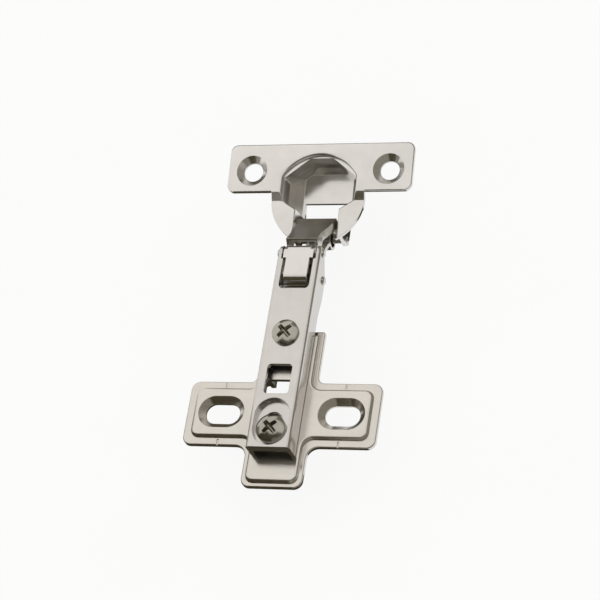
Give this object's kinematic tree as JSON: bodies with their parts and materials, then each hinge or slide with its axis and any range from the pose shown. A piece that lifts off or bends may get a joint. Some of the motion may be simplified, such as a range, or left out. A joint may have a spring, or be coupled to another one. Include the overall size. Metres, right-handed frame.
{
  "type": "concealed hinge",
  "caption": "Small concealed cabinet hinge: a drilled-in cup with a screw flange, two links and a folded arm clamped on a slotted wing plate.",
  "frame": {"origin": "midway between the wing plate's two slots, on the plate's wall face", "axes": "+Z away from the cabinet wall, along the plate screws; +Y along the arm towards the cup; +X along the wings"},
  "size_m": [0.0512, 0.0977, 0.0196],
  "materials": {
    "plate_nickel": "satin nickel plate",
    "arm_nickel": "satin nickel plate",
    "cup_nickel": "satin nickel plate",
    "link_nickel": "satin nickel plate",
    "pin_steel": "drawn steel",
    "spring_steel": "bright nickel plate",
    "screw_nickel": "bright nickel plate"
  },
  "bodies": {
    "plate": {"mounting_plate": "plate_nickel"},
    "arm": {"hinge_arm": "arm_nickel", "arm_pin_front": "pin_steel", "arm_pin_rear": "pin_steel", "closing_spring": "spring_steel"},
    "outer_link": {"outer_link": "link_nickel"},
    "cup": {"hinge_cup": "cup_nickel", "cup_rivet_left": "pin_steel", "cup_rivet_right": "pin_steel", "cup_pin_inner": "pin_steel"},
    "inner_link": {"inner_link": "link_nickel"},
    "overlay_screw": {"overlay_screw": "screw_nickel"},
    "fixing_screw": {"fixing_screw": "screw_nickel"}
  },
  "joints": [
    {"name": "depth_slide", "type": "slide", "parent": "plate", "child": "arm", "axis": [0, 1, 0], "range_m": [-0.0024, 0.0005]},
    {"name": "outer_link_swing", "type": "hinge", "parent": "arm", "child": "outer_link", "pos_m": [0, 0.0434, 0.0061], "axis": [1, 0, 0], "range_deg": [-30, 4.5]},
    {"name": "cup_swing", "type": "hinge", "parent": "outer_link", "child": "cup", "pos_m": [0, 0.05525, -0.00401], "axis": [1, 0, 0], "range_deg": [-16.3, 110.8]},
    {"name": "inner_link_swing", "type": "hinge", "parent": "arm", "child": "inner_link", "pos_m": [0, 0.0372, 0.0028], "axis": [1, 0, 0], "range_deg": [-11.3, 1.8]},
    {"name": "overlay_screw_turn", "type": "hinge", "parent": "arm", "child": "overlay_screw", "pos_m": [0, 0.0195, 0.0081], "axis": [0, 0, 1], "continuous": true},
    {"name": "fixing_screw_turn", "type": "hinge", "parent": "plate", "child": "fixing_screw", "pos_m": [0, -0.0067, 0.0066], "axis": [0, 0, 1], "continuous": true}
  ],
  "couplings": [
    {"joint": "outer_link_swing", "follows": "cup_swing", "ratio": -0.26969},
    {"joint": "inner_link_swing", "follows": "cup_swing", "ratio": -0.10059}
  ]
}
